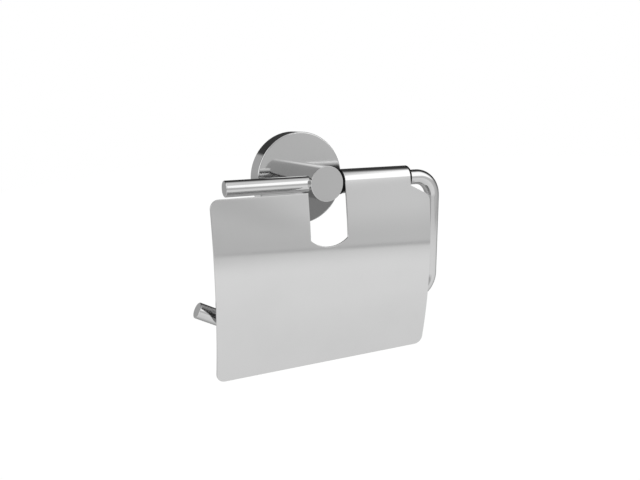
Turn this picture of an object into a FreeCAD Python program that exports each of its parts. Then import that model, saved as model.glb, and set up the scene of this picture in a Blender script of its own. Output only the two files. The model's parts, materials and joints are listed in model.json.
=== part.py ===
import FreeCAD, Part
import math
import os

from FreeCAD import Vector

# Wall-hung toilet paper holder: a bent rod carries the roll, and a curved sheet
# cover hangs from the rod's upper run and lifts over the top.
# Millimetres. +X along the rod, +Y into the wall, +Z up.
# Origin: centre of the rosette, on the wall plane.

# Fits and clearances, all radial or face to face
slip_gap = 0.05        # a pin, screw or rod in its own hole
running_gap = 0.08     # bush bore around the rod
screw_gap = 0.2        # clearance hole around the post screw
bracket_gap = 0.3      # wall bracket inside the rosette
side_gap = 0.2         # bush flange beside the post

# Roll arm: one rod, bent in a plane parallel to the wall
rod_dia = 9.0
rod_out = 41.5         # rod axis to the wall
stub_reach = 58.0      # free end of the upper run, left of the post axis
drop_reach = 76.5      # axis of the upright run, right of the post axis
arm_drop = 74.0        # axis of the upper run down to axis of the lower run
arm_bend_r = 12.5      # on the rod's axis
tip_reach = 58.5       # corner of the upturned tip, left of the post axis
tip_length = 20.0      # that corner to the end face
tip_angle = 28.0       # degrees above the lower run
tip_bend_r = 14.0      # on the rod's axis
rod_edge_r = 0.4

# Post
post_dia = 20.0
post_nose = 7.0        # rod axis to the post's front face
post_edge_r = 0.2

# Rosette, a cup open towards the wall
rosette_dia = 56.0
rosette_depth = 12.5
rosette_face = 2.0     # thickness of the front
rosette_rim = 2.5      # thickness of the side wall
rosette_edge_r = 0.8

# Wall bracket, a dish that the rosette is pushed over
bracket_depth = 8.0
bracket_floor = 3.0
bracket_rim = 3.2
groove_height = 4.5    # centre of the V-groove, from the wall
groove_depth = 1.5
slot_spacing = 28.0
slot_width = 5.0
slot_length = 8.0      # end to end

# Post screw, its lock washer and the dowel beside it
post_screw_dia = 6.0
post_screw_grip = 12.0   # length in the post
post_screw_head_dia = 10.0
post_screw_head = 3.3
post_screw_key = 4.0     # across flats
post_screw_key_depth = 2.0
post_tap_spare = 3.0     # drilled past the screw's end
washer_dia = 11.0
washer_thickness = 1.4
dowel_dia = 2.0
dowel_offset = 7.5       # above the post axis
dowel_grip = 4.0         # length in the post

# Grub screws
grub_dia = 4.0
grub_key = 2.0           # across flats
grub_key_depth = 2.0
grub_recess = 0.3        # below the surface it is driven from
cone_tip_dia = 1.0
cone_seat_gap = 0.5      # tip of the rosette's grub screw to the groove's root

# Pivot bushes, pressed into both ends of the cover's curl
bush_wall = 1.4
bush_length = 12.0       # sleeve without its flange
bush_flange = 1.0        # thickness of the flange, as wide as the curl

# Cover
sheet = 1.2
cover_width = 137.0
cover_drop = 107.0       # rod axis down to the lower edge
cover_lead = 10.0        # degrees outwards as the sheet leaves the curl
bow_r = 280.0            # outer face
bow_spare = 2.0          # degrees of bow trimmed away below the lower edge
corner_r = 5.0
curl_wrap = 250.0        # degrees around the rod
wing_drop = 4.2          # rod axis down to the left part's upper edge
notch_gap = 2.3          # beside the post, on the left
notch_drop = 35.0        # rod axis down to the notch's lowest point
notch_floor_r = 18.0
shoulder_drop = 4.0      # rod axis down to the shoulder's upper end
shoulder_run = 13.0      # curl's right end to the right edge
shoulder_slope = 26.3    # degrees

# Places that follow from the sizes above
rod_r = rod_dia / 2
post_r = post_dia / 2
post_front = rod_out + post_nose
rosette_r = rosette_dia / 2
rosette_bore_r = rosette_r - rosette_rim
rosette_inside = rosette_depth - rosette_face
bracket_r = rosette_bore_r - bracket_gap
bush_bore_r = rod_r + running_gap
bush_r = bush_bore_r + bush_wall
curl_bore_r = bush_r + slip_gap
curl_r = curl_bore_r + sheet
curl_left = post_r + side_gap + bush_flange
notch_left = -(post_r + notch_gap)
half_cover = cover_width / 2
curl_right = half_cover - shoulder_run
curl_length = curl_right - curl_left

right = Vector(1, 0, 0)
to_wall = Vector(0, 1, 0)
to_room = Vector(0, -1, 0)
up = Vector(0, 0, 1)
down = Vector(0, 0, -1)


def cylinder(radius, length, start, direction):
    return Part.makeCylinder(radius, length, start, direction)


def out(distance):
    """Point on the post axis, a distance out from the wall."""
    return Vector(0, -distance, 0)


def hex_prism(across_flats, length, start, direction):
    """Hexagonal key hole that starts at a point and runs along a direction."""
    corner_r = across_flats / math.sqrt(3)
    corners = []
    for step in range(7):
        angle = math.radians(60 * step)
        corners.append(Vector(corner_r * math.cos(angle), corner_r * math.sin(angle), 0))
    prism = Part.Face(Part.makePolygon(corners)).extrude(up * length)
    prism.Placement = FreeCAD.Placement(start, FreeCAD.Rotation(up, direction))
    return prism


def round_at(solid, centre, radius):
    """Round off the circular edges of a solid that are centred on a point."""
    edges = []
    for edge in solid.Edges:
        circular = isinstance(edge.Curve, Part.Circle)
        if circular and edge.Curve.Center.distanceToPoint(centre) < 0.001:
            edges.append(edge)
    return solid.makeFillet(radius, edges)


def wall_bracket():
    """Dish screwed to the wall, with a V-groove around its rim."""
    dish = cylinder(bracket_r, bracket_depth, out(0), to_room)
    hollow_depth = bracket_depth - bracket_floor
    hollow = cylinder(bracket_r - bracket_rim, hollow_depth, out(bracket_floor), to_room)
    dish = dish.cut(hollow)

    groove = Part.makePolygon([
        Vector(bracket_r - groove_depth, -groove_height, 0),
        Vector(bracket_r + groove_depth, -groove_height + 2 * groove_depth, 0),
        Vector(bracket_r + groove_depth, -groove_height - 2 * groove_depth, 0),
        Vector(bracket_r - groove_depth, -groove_height, 0),
    ])
    dish = dish.cut(Part.Face(groove).revolve(out(0), to_wall, 360))

    for side in (-1, 1):
        dish = dish.cut(wall_slot(side * slot_spacing / 2))
    return dish


def wall_slot(x):
    """Cutter for one slot in the bracket's floor, centred at x."""
    radius = slot_width / 2
    straight = slot_length - slot_width
    cutter = Part.makeBox(straight, bracket_floor, slot_width,
                          Vector(x - straight / 2, -bracket_floor, -radius))
    for side in (-1, 1):
        end = Vector(x + side * straight / 2, 0, 0)
        cutter = cutter.fuse(cylinder(radius, bracket_floor, end, to_room))
    return cutter.removeSplitter()


def rosette():
    """Round cup over the bracket; its front carries the post."""
    cup = cylinder(rosette_r, rosette_depth, out(0), to_room)
    cup = round_at(cup, out(rosette_depth), rosette_edge_r)
    cup = cup.cut(cylinder(rosette_bore_r, rosette_inside, out(0), to_room))

    screw_hole_r = post_screw_dia / 2 + screw_gap
    cup = cup.cut(cylinder(screw_hole_r, rosette_face, out(rosette_inside), to_room))
    cup = cup.cut(dowel(slip_gap))

    grub_start = out(groove_height) + down * rosette_bore_r
    grub_start = grub_start + up * rosette_rim
    grub_hole = cylinder(grub_dia / 2, 2 * rosette_rim, grub_start, down)
    return cup.cut(grub_hole)


def rosette_grub_screw():
    """Cone-point screw under the rosette, which pulls it onto the bracket."""
    outer = rosette_r - grub_recess
    tip = bracket_r - groove_depth + cone_seat_gap
    grub_r = grub_dia / 2 - slip_gap
    cone_length = grub_r - cone_tip_dia / 2
    place = out(groove_height)
    shank_length = outer - tip - cone_length
    screw = cylinder(grub_r, shank_length, place + down * outer, up)
    cone = Part.makeCone(grub_r, cone_tip_dia / 2, cone_length,
                         place + down * (tip + cone_length), up)
    screw = screw.fuse(cone)
    return screw.cut(hex_prism(grub_key, grub_key_depth, place + down * outer, up))


def post():
    """Round post that joins the rosette to the rod."""
    body = cylinder(post_r, post_front - rosette_depth, out(rosette_depth), to_room)
    body = round_at(body, out(post_front), post_edge_r)
    body = body.cut(cylinder(rod_r + slip_gap, post_dia, out(rod_out) - right * post_r, right))

    tap_depth = post_screw_grip + post_tap_spare
    body = body.cut(cylinder(post_screw_dia / 2, tap_depth, out(rosette_depth), to_room))
    body = body.cut(dowel(slip_gap))
    grub_hole = cylinder(grub_dia / 2, post_r, out(rod_out), down)
    return body.cut(grub_hole)


def rod_grub_screw():
    """Flat-point screw up through the post, which holds the rod."""
    length = post_r - rod_r - slip_gap - grub_recess
    start = out(rod_out) + down * (post_r - grub_recess)
    screw = cylinder(grub_dia / 2 - slip_gap, length, start, up)
    return screw.cut(hex_prism(grub_key, grub_key_depth, start, up))


def post_screw():
    """Screw from inside the rosette into the post."""
    under_head = rosette_inside - washer_thickness
    shank_length = washer_thickness + rosette_face + post_screw_grip
    shank = cylinder(post_screw_dia / 2 - slip_gap, shank_length, out(under_head), to_room)
    head_end = out(under_head - post_screw_head)
    head = cylinder(post_screw_head_dia / 2, post_screw_head, head_end, to_room)
    screw = head.fuse(shank)
    return screw.cut(hex_prism(post_screw_key, post_screw_key_depth, head_end, to_room))


def lock_washer():
    """Washer between the screw's head and the rosette."""
    start = out(rosette_inside - washer_thickness)
    ring = cylinder(washer_dia / 2, washer_thickness, start, to_room)
    bore_r = post_screw_dia / 2 + screw_gap
    return ring.cut(cylinder(bore_r, washer_thickness, start, to_room))


def dowel(extra_r=0.0):
    """Pin that stops the post turning on the rosette, or its hole."""
    start = out(rosette_inside) + up * dowel_offset
    return cylinder(dowel_dia / 2 + extra_r, rosette_face + dowel_grip, start, to_room)


def rounded_path(corners, closed=False):
    """Straight edges through corners, each a point and the radius that rounds it."""
    points = [point for point, radius in corners]
    turns = []
    for index, (corner, radius) in enumerate(corners):
        if radius == 0:
            turns.append((corner, None, corner))
            continue
        after = points[(index + 1) % len(points)]
        way_in = (corner - points[index - 1]).normalize()
        way_out = (after - corner).normalize()
        half_turn = way_in.getAngle(way_out) / 2
        cut_back = radius * math.tan(half_turn)
        inward = (way_out - way_in).normalize()
        middle = corner + inward * (radius / math.cos(half_turn) - radius)
        turns.append((corner - way_in * cut_back, middle, corner + way_out * cut_back))

    edges = []
    following = turns[1:] + turns[:1] if closed else turns[1:]
    for (start, middle, end), (next_start, _, _) in zip(turns, following):
        if middle is not None:
            edges.append(Part.Arc(start, middle, end).toShape())
        edges.append(Part.makeLine(end, next_start))
    return Part.Wire(edges)


def roll_arm():
    """Rod with its stub, upper run, upright run, lower run and upturned tip."""
    stub_end = Vector(-stub_reach, -rod_out, 0)
    tip_corner = Vector(-tip_reach, -rod_out, -arm_drop)
    lean = math.radians(tip_angle)
    tip_end = tip_corner + Vector(-math.cos(lean), 0, math.sin(lean)) * tip_length
    path = rounded_path([
        (stub_end, 0),
        (Vector(drop_reach, -rod_out, 0), arm_bend_r),
        (Vector(drop_reach, -rod_out, -arm_drop), arm_bend_r),
        (tip_corner, tip_bend_r),
        (tip_end, 0),
    ])
    section = Part.Wire(Part.makeCircle(rod_r, stub_end, right))
    rod = path.makePipeShell([section], True, False)
    rod = round_at(rod, stub_end, rod_edge_r)
    return round_at(rod, tip_end, rod_edge_r)


def sector_face(centre, inner_r, outer_r, first, last):
    """Part of a ring in the YZ plane; angles in degrees from the room side, up positive."""
    def point(radius, angle):
        turn = math.radians(angle)
        return centre + Vector(0, -radius * math.cos(turn), radius * math.sin(turn))

    def arc(radius, start, end):
        middle = (start + end) / 2
        return Part.Arc(point(radius, start), point(radius, middle), point(radius, end)).toShape()

    return Part.Face(Part.Wire([
        arc(outer_r, first, last),
        Part.makeLine(point(outer_r, last), point(inner_r, last)),
        arc(inner_r, last, first),
        Part.makeLine(point(inner_r, first), point(outer_r, first)),
    ]))


def cover_outline():
    """Front view of the sheet in the wall plane, with its shoulder, before the notch."""
    above = 2 * curl_r
    shoulder_fall = shoulder_run * math.tan(math.radians(shoulder_slope))
    return Part.Face(rounded_path([
        (Vector(-half_cover, 0, -wing_drop), corner_r),
        (Vector(curl_left, 0, -wing_drop), 0),
        (Vector(curl_left, 0, above), 0),
        (Vector(curl_right, 0, above), 0),
        (Vector(curl_right, 0, -shoulder_drop), 0),
        (Vector(half_cover, 0, -shoulder_drop - shoulder_fall), corner_r),
        (Vector(half_cover, 0, -cover_drop), corner_r),
        (Vector(-half_cover, 0, -cover_drop), corner_r),
    ], closed=True))


def notch_outline():
    """Front view of the notch around the post, straight sides on a shallow round floor."""
    middle = (notch_left + curl_left) / 2
    half_width = (curl_left - notch_left) / 2
    floor_rise = notch_floor_r - math.sqrt(notch_floor_r ** 2 - half_width ** 2)
    left_corner = Vector(notch_left, 0, floor_rise - notch_drop)
    right_corner = Vector(curl_left, 0, floor_rise - notch_drop)
    return Part.Face(Part.Wire([
        Part.Arc(left_corner, Vector(middle, 0, -notch_drop), right_corner).toShape(),
        Part.makeLine(right_corner, Vector(curl_left, 0, 0)),
        Part.makeLine(Vector(curl_left, 0, 0), Vector(notch_left, 0, 0)),
        Part.makeLine(Vector(notch_left, 0, 0), left_corner),
    ]))


def cover():
    """Bowed sheet, rolled around the rod along its upper edge."""
    rod_axis = Vector(0, -rod_out, 0)
    lead = math.radians(cover_lead)
    inward = Vector(0, math.cos(lead), -math.sin(lead))
    bow_centre = rod_axis + inward * (bow_r - curl_r)
    lower_edge = math.degrees(math.asin((-cover_drop - bow_centre.z) / bow_r))
    bow = sector_face(bow_centre, bow_r - sheet, bow_r, cover_lead, lower_edge - bow_spare)
    bow.translate(right * -half_cover)
    panel = bow.extrude(right * cover_width)

    room_side = bow_r - bow_centre.y
    blank = cover_outline().extrude(to_room * room_side)
    blank = blank.cut(notch_outline().extrude(to_room * room_side))
    panel = panel.common(blank)

    curl = sector_face(rod_axis, curl_bore_r, curl_r, cover_lead, cover_lead + curl_wrap)
    curl.translate(right * curl_left)
    return panel.fuse(curl.extrude(right * curl_length)).removeSplitter()


def pivot_bush(flange_face, inward):
    """Flanged sleeve; its flange lies on the curl's end, the sleeve runs inward."""
    axis = Vector(0, -rod_out, 0)
    flange_start = axis + right * flange_face
    flange = cylinder(curl_r, bush_flange, flange_start, inward)
    sleeve = cylinder(bush_r, bush_flange + bush_length, flange_start, inward)
    bore = cylinder(bush_bore_r, bush_flange + bush_length, flange_start, inward)
    return flange.fuse(sleeve).cut(bore)


nodes = {
    "wall_bracket": wall_bracket(),
    "rosette": rosette(),
    "rosette_grub_screw": rosette_grub_screw(),
    "post": post(),
    "post_screw": post_screw(),
    "post_lock_washer": lock_washer(),
    "post_dowel": dowel(),
    "rod_grub_screw": rod_grub_screw(),
    "roll_arm": roll_arm(),
    "cover": cover(),
    "left_pivot_bush": pivot_bush(curl_left - bush_flange, right),
    "right_pivot_bush": pivot_bush(curl_right + bush_flange, right * -1),
}

os.makedirs("parts", exist_ok=True)
for name, shape in nodes.items():
    shape.exportStep(f"parts/{name}.step")
    box = shape.optimalBoundingBox()
    print(f"{name}: {len(shape.Solids)} solid, valid {shape.isValid()}, {shape.Volume:.0f} mm3,",
          f"x {box.XMin:.1f}..{box.XMax:.1f}, y {box.YMin:.1f}..{box.YMax:.1f},",
          f"z {box.ZMin:.1f}..{box.ZMax:.1f}")
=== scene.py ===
import json
import math

import bmesh
import bpy
from mathutils import Matrix, Vector


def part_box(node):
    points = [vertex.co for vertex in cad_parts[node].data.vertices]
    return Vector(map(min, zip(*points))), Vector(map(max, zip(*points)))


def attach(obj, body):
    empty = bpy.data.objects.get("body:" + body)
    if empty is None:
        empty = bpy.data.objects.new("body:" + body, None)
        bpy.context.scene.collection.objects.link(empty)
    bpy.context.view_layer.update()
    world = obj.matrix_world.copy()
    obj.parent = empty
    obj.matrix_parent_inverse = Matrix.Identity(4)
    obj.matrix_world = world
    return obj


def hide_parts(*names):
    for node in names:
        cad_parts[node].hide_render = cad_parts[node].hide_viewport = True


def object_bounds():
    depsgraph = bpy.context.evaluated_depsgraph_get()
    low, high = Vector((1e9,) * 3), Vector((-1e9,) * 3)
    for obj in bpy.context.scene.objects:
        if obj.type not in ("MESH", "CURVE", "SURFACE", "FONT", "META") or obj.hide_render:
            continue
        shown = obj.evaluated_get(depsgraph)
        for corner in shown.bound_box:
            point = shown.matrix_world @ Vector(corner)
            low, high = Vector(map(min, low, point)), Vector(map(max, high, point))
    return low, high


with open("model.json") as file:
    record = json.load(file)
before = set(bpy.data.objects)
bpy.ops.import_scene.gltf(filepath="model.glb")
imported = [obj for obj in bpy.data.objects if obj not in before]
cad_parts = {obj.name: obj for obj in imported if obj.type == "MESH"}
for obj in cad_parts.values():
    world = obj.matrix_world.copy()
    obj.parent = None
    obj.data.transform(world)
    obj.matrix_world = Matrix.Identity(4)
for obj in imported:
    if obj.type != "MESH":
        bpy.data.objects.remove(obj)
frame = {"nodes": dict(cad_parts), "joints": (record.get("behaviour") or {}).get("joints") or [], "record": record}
cadLow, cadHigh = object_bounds()
print("frame loaded:", ", ".join(sorted(frame["nodes"])))

mm = 0.001
hinge = frame["joints"][0]
rodAxis = Vector(hinge["pos_m"])  # the cover turns about the rod's upper run
xAxis = Vector((1, 0, 0))
yAxis = Vector((0, 1, 0))
zAxis = Vector((0, 0, 1))


# Nodes

class Number:
    # Wraps a number socket, so that an expression on it adds its Math nodes
    def __init__(self, graph, socket):
        self.graph = graph
        self.socket = socket

    def __add__(self, other):
        return self.graph.maths("ADD", self, other)

    def __sub__(self, other):
        return self.graph.maths("SUBTRACT", self, other)

    def __rsub__(self, other):
        return self.graph.maths("SUBTRACT", other, self)

    def __mul__(self, other):
        return self.graph.maths("MULTIPLY", self, other)

    def __truediv__(self, other):
        return self.graph.maths("DIVIDE", self, other)

    __radd__ = __add__
    __rmul__ = __mul__


class Graph:
    def __init__(self, tree):
        self.tree = tree
        tree.nodes.clear()

    def add(self, kind, settings=None, inputs=None):
        node = self.tree.nodes.new(kind)
        for name, setting in (settings or {}).items():
            if name == "stops":
                setStops(node.color_ramp, setting)
            else:
                setattr(node, name, setting)
        for name, value in (inputs or {}).items():
            if isinstance(value, Number):
                value = value.socket
            if isinstance(value, bpy.types.NodeSocket):
                self.tree.links.new(value, node.inputs[name])
            else:
                node.inputs[name].default_value = value
        return node

    def maths(self, operation, *values):
        node = self.add("ShaderNodeMath", {"operation": operation}, dict(enumerate(values)))
        return Number(self, node.outputs[0])

    def mixColour(self, factor, first, second):
        mix = self.add("ShaderNodeMix", {"data_type": "RGBA"}, {0: factor, 6: first, 7: second})
        return mix.outputs[2]

    def fade(self, value, start, end):
        # 0 at start and below, 1 at end and above, smooth between
        node = self.add("ShaderNodeMapRange", {"interpolation_type": "SMOOTHSTEP"},
                        {"Value": value, "From Min": start, "From Max": end})
        return Number(self, node.outputs["Result"])

    def noise(self, place, scale, detail=2.0, roughness=0.5):
        node = self.add("ShaderNodeTexNoise", {},
                        {"Vector": place, "Scale": scale, "Detail": detail, "Roughness": roughness})
        return Number(self, node.outputs["Fac"])

    def stretched(self, place, scale):
        return self.add("ShaderNodeMapping", {}, {"Vector": place, "Scale": scale}).outputs["Vector"]

    def axes(self, vector):
        node = self.add("ShaderNodeSeparateXYZ", {}, {"Vector": vector})
        return [Number(self, node.outputs[axis]) for axis in "XYZ"]

    def edges(self, reach):
        # 1 within reach of an edge, 0 elsewhere
        rounded = self.add("ShaderNodeBevel", {"samples": 4}, {"Radius": reach}).outputs["Normal"]
        normal = self.add("ShaderNodeNewGeometry").outputs["Normal"]
        facing = self.add("ShaderNodeVectorMath", {"operation": "DOT_PRODUCT"}, {0: rounded, 1: normal})
        return 1 - self.fade(Number(self, facing.outputs["Value"]), 0.9, 0.99)

    def surface(self, look, colour, roughness, height):
        bump = self.add("ShaderNodeBump", {}, {
            "Strength": look["bump"], "Distance": look["bumpHeight"], "Height": height})
        return self.add("ShaderNodeBsdfPrincipled", {}, {
            "Base Color": colour, "Metallic": look["metallic"], "Specular IOR Level": look["specular"],
            "Roughness": roughness, "Normal": bump.outputs["Normal"]})

    def ramp(self, value, stops):
        node = self.add("ShaderNodeValToRGB", {"stops": stops}, {"Fac": value})
        return node.outputs["Color"]


def setStops(ramp, stops):
    while len(ramp.elements) < len(stops):
        ramp.elements.new(1)
    for element, (place, tone) in zip(ramp.elements, stops):
        element.position = place
        element.color = grey(tone)


def grey(tone):
    return (tone, tone, tone, 1)


# Finishes
# Tones are linear greys. Scales are per metre, so a higher one gives finer marks.

# edgeTone lightens the chrome's edges: a painted highlight along the rims, broken up by chip noise that stands for
# wear
chromeLook = {"tone": 0.68, "smudgeTone": 0.66, "edgeTone": 0.90, "metallic": 1, "specular": 0.5,
              "roughness": 0.07, "smudgeRoughness": 0.025, "hairlineRoughness": 0.02,
              "edgeRoughness": 0.06,
              "smudgeScale": 28, "smudgeRange": (0.42, 0.68),
              "edgeReach": 0.5 * mm, "chipRange": (0.35, 0.6), "chipDepth": 0.4,
              "hairlineScale": 900, "hairlineStretch": 0.08, "hairlineRange": (0.62, 0.7),
              "bump": 0.15, "bumpHeight": 0.0004 * mm}
# its lighter edgeTone is likewise a painted highlight along the sheet's edges, with chips for wear
sheetLook = {**chromeLook, "tone": 0.72, "smudgeTone": 0.70, "edgeTone": 0.80, "edgeRoughness": 0.08,
             "smudgeScale": 18, "edgeReach": 0.25 * mm, "hairlineScale": 700}
castLook = {"tone": 0.56, "flowTone": 0.68, "edgeTone": 0.78, "metallic": 1, "specular": 0.5,
            "roughness": 0.42, "flowRoughness": 0.16, "grainRoughness": 0.08, "edgeRoughness": -0.12,
            "grainScale": 1400, "flowScale": 60, "flowStretch": 0.4,
            "edgeReach": 0.3 * mm, "chipDepth": 0.5, "bump": 0.5, "bumpHeight": 0.03 * mm}
steelLook = {"tone": 0.5, "tintTone": 0.6, "edgeTone": 0.7, "metallic": 1, "specular": 0.5,
             "roughness": 0.24, "tintRoughness": 0.12, "ringRoughness": 0.06, "edgeRoughness": 0.05,
             "ringScale": 2600, "ringStretch": 0.05, "tintScale": 120, "edgeReach": 0.1 * mm,
             "bump": 0.3, "bumpHeight": 0.01 * mm}
plasticLook = {"tone": 0.003, "rubbedTone": 0.008, "metallic": 0, "specular": 0.15,
               "roughness": 0.5, "grainRoughness": 0.1, "rubbedRoughness": -0.12,
               "grainScale": 3000, "rubbedScale": 220, "rubbedRange": (0.5, 0.75),
               "bump": 0.4, "bumpHeight": 0.01 * mm}


def makeMaterial(name, drawSurface, look):
    material = bpy.data.materials.new(name)
    material.use_nodes = True
    graph = Graph(material.node_tree)
    shader = drawSurface(graph, graph.add("ShaderNodeTexCoord").outputs["Object"], look)
    graph.add("ShaderNodeOutputMaterial", {}, {"Surface": shader.outputs[0]})
    return material


def polishedMetal(graph, place, look):
    smudge = graph.fade(graph.noise(place, look["smudgeScale"], 4, 0.55), *look["smudgeRange"])
    streaks = graph.noise(graph.stretched(place, (look["hairlineStretch"], 1, 1)), look["hairlineScale"])
    hairlines = graph.fade(streaks, *look["hairlineRange"])
    chips = graph.fade(graph.noise(place, look["hairlineScale"], 3), *look["chipRange"])
    # edges within reach, thinned by chip noise as wear; in chrome and sheet their lighter tone is a painted
    # highlight along the rims
    wearAndHighlight = graph.edges(look["edgeReach"]) * (1 - (1 - chips) * look["chipDepth"])
    colour = graph.mixColour(smudge, grey(look["tone"]), grey(look["smudgeTone"]))
    colour = graph.mixColour(wearAndHighlight, colour, grey(look["edgeTone"]))
    roughness = (look["roughness"] + smudge * look["smudgeRoughness"]
                 + hairlines * look["hairlineRoughness"] + wearAndHighlight * look["edgeRoughness"])
    return graph.surface(look, colour, roughness, hairlines)


def castMetal(graph, place, look):
    grain = graph.noise(place, look["grainScale"], 3, 0.6)
    flow = graph.noise(graph.stretched(place, (1, 1, look["flowStretch"])), look["flowScale"], 4, 0.6)
    wearAndHighlight = graph.edges(look["edgeReach"]) * (1 - (1 - flow) * look["chipDepth"])
    colour = graph.mixColour(flow, grey(look["tone"]), grey(look["flowTone"]))
    colour = graph.mixColour(wearAndHighlight, colour, grey(look["edgeTone"]))
    roughness = (look["roughness"] + flow * look["flowRoughness"] + grain * look["grainRoughness"]
                 + wearAndHighlight * look["edgeRoughness"])
    return graph.surface(look, colour, roughness, grain)


def turnedSteel(graph, place, look):
    rings = graph.noise(graph.stretched(place, (1, look["ringStretch"], 1)), look["ringScale"])
    tint = graph.noise(place, look["tintScale"], 3)
    wearAndHighlight = graph.edges(look["edgeReach"])
    colour = graph.mixColour(tint, grey(look["tone"]), grey(look["tintTone"]))
    colour = graph.mixColour(wearAndHighlight, colour, grey(look["edgeTone"]))
    roughness = (look["roughness"] + tint * look["tintRoughness"] + rings * look["ringRoughness"]
                 + wearAndHighlight * look["edgeRoughness"])
    return graph.surface(look, colour, roughness, rings)


def mouldedPlastic(graph, place, look):
    grain = graph.noise(place, look["grainScale"])
    rubbed = graph.fade(graph.noise(place, look["rubbedScale"], 3), *look["rubbedRange"])
    colour = graph.mixColour(rubbed, grey(look["tone"]), grey(look["rubbedTone"]))
    roughness = look["roughness"] + grain * look["grainRoughness"] + rubbed * look["rubbedRoughness"]
    return graph.surface(look, colour, roughness, grain)


finishes = {
    "polished_chrome": makeMaterial("polishedChrome", polishedMetal, chromeLook),
    "polished_sheet": makeMaterial("polishedSheet", polishedMetal, sheetLook),
    "cast_bracket": makeMaterial("castBracket", castMetal, castLook),
    "screw_steel": makeMaterial("screwSteel", turnedSteel, steelLook),
    "black_plastic": makeMaterial("blackPlastic", mouldedPlastic, plasticLook),
}
for subpart in frame["record"]["subparts"]:
    cadNode = frame["nodes"][subpart["node"]]
    for slot in cadNode.material_slots:
        slot.material = finishes[subpart["material_slot"]]
print("finishes made:", ", ".join(finishes))


# Pieces

def finishPiece(bm, name, finish, body, *nodes):
    mesh = bpy.data.meshes.new(name)
    bm.normal_update()
    bm.to_mesh(mesh)
    bm.free()
    mesh.shade_smooth()
    piece = bpy.data.objects.new(name, mesh)
    bpy.context.scene.collection.objects.link(piece)
    mesh.materials.append(finishes[finish])
    weighted = piece.modifiers.new("weightedNormals", "WEIGHTED_NORMAL")
    weighted.weight = 100
    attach(piece, body)
    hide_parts(*nodes)
    print(f"{name}: {len(mesh.polygons)} faces")


sharpAngle = math.radians(60)


def sharpEdges(bm):
    return [e for e in bm.edges if len(e.link_faces) == 2 and e.calc_face_angle() > sharpAngle]


def roundEdges(bm, edges, radius, segments):
    bmesh.ops.bevel(bm, geom=edges, offset=radius, segments=segments, affect="EDGES",
                    profile=0.5, material=-1)


armShape = {"stubReach": 58 * mm, "bendRadius": 12.5 * mm, "tipReach": 58.5 * mm, "tipLength": 20 * mm,
            "tipLift": math.radians(28), "tipBendRadius": 14 * mm, "endRound": 0.5 * mm,
            "around": 64, "bendSteps": 32, "endSteps": 4}


def makeArm(shape):
    low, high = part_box("roll_arm")
    rodRadius = (high.y - low.y) / 2
    upperZ = rodAxis.z
    lowerZ = low.z + rodRadius
    uprightX = high.x - rodRadius
    bend = shape["bendRadius"]
    axisY = rodAxis.y
    tipCut = shape["tipBendRadius"] * math.tan(shape["tipLift"] / 2)

    bm = bmesh.new()
    quarter = math.pi / 2
    stubEnd = Vector((-shape["stubReach"], axisY, upperZ))
    place = Matrix.Translation(stubEnd) @ Matrix.Rotation(quarter, 4, "Y")
    bmesh.ops.create_circle(bm, segments=shape["around"], radius=rodRadius, matrix=place)
    ring = bm.edges[:]

    # from the stub's free end round to the tip's
    bendX = uprightX - bend
    ring = drawRun(bm, ring, xAxis * (bendX + shape["stubReach"]))
    ring = drawBend(bm, ring, Vector((bendX, axisY, upperZ - bend)), quarter, shape["bendSteps"])
    ring = drawRun(bm, ring, zAxis * (lowerZ - upperZ + 2 * bend))
    ring = drawBend(bm, ring, Vector((bendX, axisY, lowerZ + bend)), quarter, shape["bendSteps"])
    ring = drawRun(bm, ring, -xAxis * (bendX + shape["tipReach"] - tipCut))
    tipCentre = Vector((-shape["tipReach"] + tipCut, axisY, lowerZ + shape["tipBendRadius"]))
    ring = drawBend(bm, ring, tipCentre, shape["tipLift"], shape["bendSteps"] // 2)
    tipWay = Vector((-math.cos(shape["tipLift"]), 0, math.sin(shape["tipLift"])))
    drawRun(bm, ring, tipWay * (shape["tipLength"] - tipCut))

    bmesh.ops.holes_fill(bm, edges=bm.edges[:], sides=0)
    bmesh.ops.recalc_face_normals(bm, faces=bm.faces[:])
    roundEdges(bm, sharpEdges(bm), shape["endRound"], shape["endSteps"])
    finishPiece(bm, "bent_rod", "polished_chrome", "holder", "roll_arm")


def drawRun(bm, ring, step):
    drawn = bmesh.ops.extrude_edge_only(bm, edges=ring)["geom"]
    bmesh.ops.translate(bm, verts=[v for v in drawn if isinstance(v, bmesh.types.BMVert)], vec=step)
    return [e for e in drawn if isinstance(e, bmesh.types.BMEdge) and len(e.link_faces) == 1]


def drawBend(bm, ring, centre, turn, steps):
    verts = list({v for e in ring for v in e.verts})
    drawn = bmesh.ops.spin(bm, geom=verts + ring, cent=centre, axis=yAxis, angle=turn, steps=steps)
    return [e for e in drawn["geom_last"] if isinstance(e, bmesh.types.BMEdge)]


makeArm(armShape)


coverShape = {"thickness": 1.2 * mm, "lead": math.radians(10), "bowRadius": 280 * mm,
              "curlLeft": 11.2 * mm, "curlRight": 55.5 * mm, "curlWrap": math.radians(250),
              "wingDrop": 4.2 * mm, "notchLeft": -12.3 * mm, "notchDrop": 35 * mm,
              "notchFloorRadius": 18 * mm, "shoulderDrop": 4 * mm, "shoulderSlope": math.radians(26.3),
              "cornerRadius": 5 * mm, "edgeRound": 0.25 * mm,
              "cornerSteps": 10, "edgeSteps": 3,
              "bowStep": 2.5 * mm, "curlStep": 0.6 * mm, "acrossStep": 9 * mm}


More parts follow.
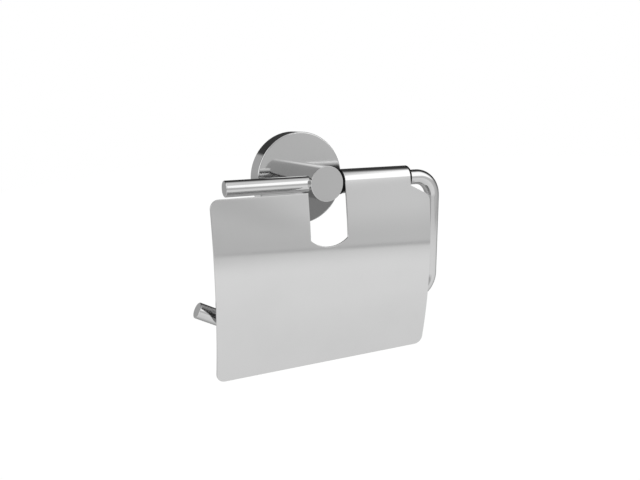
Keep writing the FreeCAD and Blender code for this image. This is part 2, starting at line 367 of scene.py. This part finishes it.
def makeCover(shape):
    low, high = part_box("cover")
    curlRadius = high.z - rodAxis.z
    lead = shape["lead"]
    bowRadius = shape["bowRadius"]
    bowCentre = rodAxis + (bowRadius - curlRadius) * Vector((0, math.cos(lead), -math.sin(lead)))

    def along(drop):
        # distance along the blank at a drop below the rod's axis, from where the curl begins
        return (math.asin((rodAxis.z - drop - bowCentre.z) / bowRadius) - lead) * bowRadius

    # the flat blank: x across, y along, up positive
    wing = along(shape["wingDrop"])
    lowerEdge = along(rodAxis.z - low.z)
    curlEnd = shape["curlWrap"] * curlRadius
    shoulderRun = high.x - shape["curlRight"]
    shoulderEnd = along(shape["shoulderDrop"] + shoulderRun * math.tan(shape["shoulderSlope"]))
    notchMiddle = (shape["notchLeft"] + shape["curlLeft"]) / 2
    notchHalf = (shape["curlLeft"] - shape["notchLeft"]) / 2
    notchTurn = math.asin(notchHalf / shape["notchFloorRadius"])
    floorCentre = along(shape["notchDrop"]) + shape["notchFloorRadius"]
    notchSide = floorCentre - shape["notchFloorRadius"] * math.cos(notchTurn)

    # from the notch's left side round to its right side, with four rounded corners after the first
    outline = [(shape["notchLeft"], wing), (low.x, wing), (low.x, lowerEdge), (high.x, lowerEdge),
               (high.x, shoulderEnd), (shape["curlRight"], along(shape["shoulderDrop"])),
               (shape["curlRight"], curlEnd), (shape["curlLeft"], curlEnd),
               (shape["curlLeft"], notchSide)]

    bm = bmesh.new()
    corners = [bm.verts.new((x, y, 0)) for x, y in outline]
    notchFloor = bmesh.ops.spin(bm, geom=corners[-1:], cent=(notchMiddle, floorCentre, 0), axis=zAxis,
                                angle=-2 * notchTurn, steps=2 * shape["cornerSteps"])
    for pair in zip(notchFloor["geom_last"] + corners, corners):
        bm.edges.new(pair)
    bmesh.ops.edgeloop_fill(bm, edges=bm.edges[:])
    for corner in corners[1:5]:
        before, after = (e.other_vert(corner).co - corner.co for e in corner.link_edges)
        cutBack = shape["cornerRadius"] / math.tan(before.angle(after) / 2)
        bmesh.ops.bevel(bm, geom=[corner], offset=cutBack, segments=shape["cornerSteps"],
                        affect="VERTICES", profile=0.5, material=-1)
    bmesh.ops.recalc_face_normals(bm, faces=bm.faces[:])
    if bm.faces[:][0].normal.z < 0:
        bmesh.ops.reverse_faces(bm, faces=bm.faces[:])
    bmesh.ops.solidify(bm, geom=bm.faces[:], thickness=shape["thickness"])
    bmesh.ops.recalc_face_normals(bm, faces=bm.faces[:])
    level = [e for e in sharpEdges(bm) if abs(e.verts[0].co.z - e.verts[1].co.z) < 0.01 * mm]
    roundEdges(bm, level, shape["edgeRound"], shape["edgeSteps"])
    cutAcross(bm, yAxis, lowerEdge, 0, shape["bowStep"])
    cutAcross(bm, yAxis, 0, curlEnd, shape["curlStep"])
    cutAcross(bm, xAxis, low.x, high.x, shape["acrossStep"])

    # bend it: the curl around the rod, and below it the bow
    for vert in bm.verts:
        x, length, height = vert.co
        if length > 0:
            centre, radius = rodAxis, curlRadius
        else:
            centre, radius = bowCentre, bowRadius
        angle = lead + length / radius
        depth = radius + height
        vert.co = centre + Vector((x, -depth * math.cos(angle), depth * math.sin(angle)))
    finishPiece(bm, "roll_cover", "polished_sheet", "cover", "cover")


def cutAcross(bm, direction, start, end, step):
    cuts = max(1, round((end - start) / step))
    for cut in range(cuts + 1):
        where = direction * (start + (end - start) * cut / cuts)
        bmesh.ops.bisect_plane(bm, geom=bm.verts[:] + bm.edges[:] + bm.faces[:], dist=0.001 * mm,
                               plane_co=where, plane_no=direction)


makeCover(coverShape)


# Studio

floorLook = {"below": 0.48, "halfWidth": 3.58, "halfLength": 9.0, "turn": math.radians(-35.8),
             "paint": 0.8, "white": 1.08, "shadowShare": 0.12,
             # brightness in reflections, from the room side to behind the wall, darker there as painted shade
             "tones": [(0, 0.90), (0.3, 0.88), (0.46, 0.83), (0.55, 0.81), (0.68, 0.45), (0.92, 0.29),
                       (1, 0.36)],
             "toneReach": (-2.0, 1.2), "farReach": (2.1, 3.85), "farLoss": 0.19,
             # the strip along the floor's edge, glowing darker: a painted line of shade seen in reflections
             "stripWidth": 0.40, "stripTones": [(0, 0.62), (1, 1)],
             # the stretch behind the wall and to the left
             "leftTone": 0.70, "leftLean": 0.8, "leftReach": (1.2, 1.6)}


def floorPaintAndGlow(graph, place, look):
    x, y = graph.axes(place)[:2]
    start, end = look["toneReach"]
    tone = graph.ramp((y - start) / (end - start), look["tones"])
    left = graph.fade(y - x * look["leftLean"], *look["leftReach"])
    tone = graph.mixColour(left, tone, grey(look["leftTone"]))
    # the glow darkens far away: a painted fall-off of light seen in reflections
    away = graph.add("ShaderNodeVectorMath", {"operation": "LENGTH"}, {0: place}).outputs["Value"]
    loss = graph.fade(Number(graph, away), *look["farReach"]) * look["farLoss"]
    tone = graph.mixColour(loss, tone, grey(0))

    light = graph.add("ShaderNodeLightPath")
    camera, glossy, through = (Number(graph, light.outputs[ray]) for ray in
                               ("Is Camera Ray", "Is Glossy Ray", "Is Transmission Ray"))
    paint = graph.add("ShaderNodeBsdfDiffuse", {}, {"Color": grey(look["paint"])})
    shown = graph.mixColour(camera, tone, grey(look["white"]))
    glow = graph.add("ShaderNodeEmission", {}, {"Color": shown})
    seen = camera * (1 - look["shadowShare"]) + glossy + through
    return graph.add("ShaderNodeMixShader", {}, {0: seen, 1: paint.outputs[0], 2: glow.outputs[0]})


def makeFloor(look):
    bm = bmesh.new()
    bmesh.ops.create_grid(bm, x_segments=1, y_segments=1, size=1)
    bmesh.ops.scale(bm, verts=bm.verts[:], vec=(look["halfWidth"], look["halfLength"], 1))
    strip = bmesh.ops.inset_region(bm, faces=bm.faces[:], thickness=look["stripWidth"], use_boundary=True,
                                   use_even_offset=True)["faces"]
    for face in strip:
        face.material_index = 1
    bmesh.ops.rotate(bm, verts=bm.verts[:], cent=(0, 0, 0), matrix=Matrix.Rotation(look["turn"], 3, "Z"))
    bmesh.ops.translate(bm, verts=bm.verts[:], vec=(0, 0, cadLow.z - look["below"]))
    mesh = bpy.data.meshes.new("studioFloor")
    bm.to_mesh(mesh)
    bm.free()
    stripLook = {**look, "tones": look["stripTones"]}
    mesh.materials.append(makeMaterial("paleFloor", floorPaintAndGlow, look))
    mesh.materials.append(makeMaterial("floorStrip", floorPaintAndGlow, stripLook))
    floor = bpy.data.objects.new("studioFloor", mesh)
    bpy.context.scene.collection.objects.link(floor)


# Bearings in degrees, 0 towards the room and 90 towards +X; heights in degrees above the horizon
roomLook = {
    "wallTones": [(-180, 0.45), (-90, 0.51), (-25, 0.48), (0, 0.49), (10, 0.55), (16, 0.63), (24, 0.71),
                  (35, 0.75), (65, 0.54), (76, 0.46), (86, 0.26), (96, 0.20), (110, 0.20), (150, 0.24),
                  (180, 0.45)],
    # the wall down at the floor
    "footTones": [(-180, 0.40), (-90, 0.49), (-25, 0.52), (0, 0.53), (16, 0.595), (24, 0.60), (28, 0.625),
                  (35, 0.65), (65, 0.51), (110, 0.34), (150, 0.22), (180, 0.40)],
    "footReach": (-6, 4),
    # a soft shade across the wall
    "shade": {"bearing": 22, "lean": 0.48, "halfWidth": 5, "depth": 0.12, "foot": (-4, 2)},
    "wallTopFront": 50, "wallTopBehind": 17, "wallTopCorner": 4, "wallTopBlur": 1,
    "behindReach": (-0.2, 0.3), "cornerReach": (0, 0.45),
    "ceilingFront": 0.84, "ceilingBehind": 0.05, "ceilingReach": (-0.35, 0.36),
    "ceilingMiddle": 55, "ceilingLean": 0.01,
    # the edges of a box lean about this bearing and height
    "boxMiddle": (29, 20),
    "softbox": {"tone": 1.45, "left": (9, 23), "right": (62, 86), "foot": (9, 18), "top": (41, 50),
                "topRise": 0.25, "rightLean": 0.2},
    "fill": {"tone": 1.35, "left": (-115, -95), "right": (-58, -42), "foot": (1, 9), "top": (50, 62),
             "topRise": 0, "rightLean": 0},
}


def roomWall(graph, look, bearing, height):
    around = (bearing + 180) / 360
    tones, footTones = (graph.ramp(around, [((side + 180) / 360, tone) for side, tone in look[band]])
                        for band in ("wallTones", "footTones"))
    wall = graph.mixColour(graph.fade(height, *look["footReach"]), footTones, tones)
    shade = look["shade"]
    beside = graph.maths("ABSOLUTE", bearing + height * shade["lean"] - shade["bearing"])
    shaded = (1 - graph.fade(beside, 0, shade["halfWidth"])) * graph.fade(height, *shade["foot"])
    return graph.mixColour(shaded * shade["depth"], wall, grey(0))


def boxMask(graph, look, box, bearing, height):
    middleBearing, middleHeight = look["boxMiddle"]
    leant = bearing - (height - middleHeight) * box["rightLean"]
    risen = height - (bearing - middleBearing) * box["topRise"]
    across = graph.fade(bearing, *box["left"]) * (1 - graph.fade(leant, *box["right"]))
    return across * graph.fade(height, *box["foot"]) * (1 - graph.fade(risen, *box["top"]))


def makeWorld(look):
    world = bpy.data.worlds.new("softStudio")
    world.use_nodes = True
    bpy.context.scene.world = world
    graph = Graph(world.node_tree)
    x, y, z = graph.axes(graph.add("ShaderNodeTexCoord").outputs["Generated"])
    bearing = graph.maths("DEGREES", graph.maths("ARCTAN2", x, 0 - y))
    height = graph.maths("DEGREES", graph.maths("ARCSINE", z))

    wallTopDrop = look["wallTopFront"] - look["wallTopBehind"]
    cornerDrop = graph.fade(x, *look["cornerReach"]) * (look["wallTopBehind"] - look["wallTopCorner"])
    wallTop = look["wallTopFront"] - graph.fade(y, *look["behindReach"]) * (wallTopDrop + cornerDrop)
    leant = y + (look["ceilingMiddle"] - height) * look["ceilingLean"]
    ceiling = graph.mixColour(graph.fade(leant, *look["ceilingReach"]),
                              grey(look["ceilingFront"]), grey(look["ceilingBehind"]))
    above = graph.fade(height - wallTop, -look["wallTopBlur"], look["wallTopBlur"])
    room = graph.mixColour(above, roomWall(graph, look, bearing, height), ceiling)
    for box in (look["softbox"], look["fill"]):
        room = graph.mixColour(boxMask(graph, look, box, bearing, height), room, grey(box["tone"]))

    light = graph.add("ShaderNodeLightPath")
    shown = graph.mixColour(light.outputs["Is Camera Ray"], room, grey(1))
    background = graph.add("ShaderNodeBackground", {}, {"Color": shown})
    graph.add("ShaderNodeOutputWorld", {}, {"Surface": background.outputs[0]})


lampLook = {"place": (0.6, -1.4, 0.9), "target": (0, 0, -0.03), "size": (1.4, 0.9), "power": 14}


def makeLamp(look):
    lamp = bpy.data.lights.new("frontSoftbox", "AREA")
    lamp.shape = "RECTANGLE"
    lamp.size, lamp.size_y = look["size"]
    lamp.energy = look["power"]
    lampObject = bpy.data.objects.new("frontSoftbox", lamp)
    lampObject.location = look["place"]
    way = Vector(look["target"]) - lampObject.location
    lampObject.rotation_euler = way.to_track_quat("-Z", "Y").to_euler()
    lampObject.visible_glossy = False
    bpy.context.scene.collection.objects.link(lampObject)


makeFloor(floorLook)
makeWorld(roomLook)
makeLamp(lampLook)
print("studio made")


# Camera

cameraView = {"place": (-0.15226, -0.34779, 0.03721),
              "yaw": math.radians(24.382), "pitch": math.radians(13.063), "roll": math.radians(-0.842),
              "lens": 33.724, "sensor": 36, "shift": (0.02897, 0.02365), "near": 0.01}


def makeCamera(view):
    camera = bpy.data.cameras.new("productCamera")
    camera.lens = view["lens"]
    camera.sensor_width = view["sensor"]
    camera.shift_x, camera.shift_y = view["shift"]
    camera.clip_start = view["near"]
    cameraObject = bpy.data.objects.new("productCamera", camera)
    turn = Matrix.Rotation(-view["yaw"], 4, "Z") @ Matrix.Rotation(math.pi / 2 - view["pitch"], 4, "X")
    roll = Matrix.Rotation(view["roll"], 4, "Z")
    cameraObject.matrix_world = Matrix.Translation(view["place"]) @ turn @ roll
    bpy.context.scene.collection.objects.link(cameraObject)
    bpy.context.scene.camera = cameraObject


makeCamera(cameraView)
bpy.context.scene.view_settings.view_transform = "Standard"

print("scene ready")
